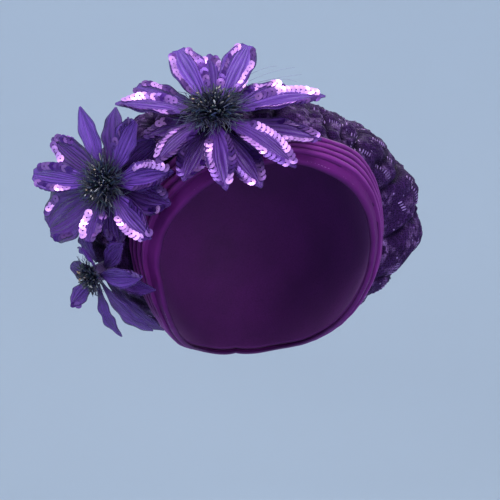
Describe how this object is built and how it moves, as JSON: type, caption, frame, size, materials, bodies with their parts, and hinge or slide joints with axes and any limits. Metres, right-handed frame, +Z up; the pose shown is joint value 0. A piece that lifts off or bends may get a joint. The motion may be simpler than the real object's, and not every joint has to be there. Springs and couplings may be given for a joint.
{
  "type": "turban cap with flowers",
  "caption": "Ready-made purple turban cap with a pleated face band, a puffed sequin-net drape and beaded organza flowers, kept in its worn form.",
  "frame": {"origin": "inside of the cap at the crown, where it sits on the head", "axes": "-Y is the way the wearer faces, +Z up, +X the wearer's left"},
  "size_m": [0.2829, 0.2251, 0.2184],
  "materials": {
    "cap_jersey": "matte dark purple knit",
    "band_jersey": "soft satin magenta-purple knit",
    "sequin_net": "dark net set with small sequins",
    "petal_organza": "sheer violet organza with sequin edges",
    "bead_tuft": "dark glossy bugle beads",
    "flower_hub": "plain dark wound cloth"
  },
  "bodies": {
    "root": {"cap": "cap_jersey", "face_band": "band_jersey", "net_drape": "sequin_net", "top_flower_base": "flower_hub", "top_flower_petal_01": "petal_organza", "top_flower_petal_02": "petal_organza", "top_flower_petal_03": "petal_organza", "top_flower_petal_04": "petal_organza", "top_flower_petal_05": "petal_organza", "top_flower_petal_06": "petal_organza", "top_flower_petal_07": "petal_organza", "top_flower_petal_08": "petal_organza", "top_flower_petal_09": "petal_organza", "top_flower_petal_10": "petal_organza", "top_flower_petal_11": "petal_organza", "top_flower_petal_12": "petal_organza", "top_flower_petal_13": "petal_organza", "top_flower_petal_14": "petal_organza", "top_flower_centre": "bead_tuft", "side_flower_base": "flower_hub", "side_flower_petal_01": "petal_organza", "side_flower_petal_02": "petal_organza", "side_flower_petal_03": "petal_organza", "side_flower_petal_04": "petal_organza", "side_flower_petal_05": "petal_organza", "side_flower_petal_06": "petal_organza", "side_flower_petal_07": "petal_organza", "side_flower_petal_08": "petal_organza", "side_flower_petal_09": "petal_organza", "side_flower_petal_10": "petal_organza", "side_flower_petal_11": "petal_organza", "side_flower_petal_12": "petal_organza", "side_flower_centre": "bead_tuft", "low_flower_base": "flower_hub", "low_flower_petal_01": "petal_organza", "low_flower_petal_02": "petal_organza", "low_flower_petal_03": "petal_organza", "low_flower_petal_04": "petal_organza", "low_flower_petal_05": "petal_organza", "low_flower_petal_06": "petal_organza", "low_flower_petal_07": "petal_organza", "low_flower_petal_08": "petal_organza", "low_flower_petal_09": "petal_organza", "low_flower_petal_10": "petal_organza", "low_flower_centre": "bead_tuft"}
  },
  "joints": []
}
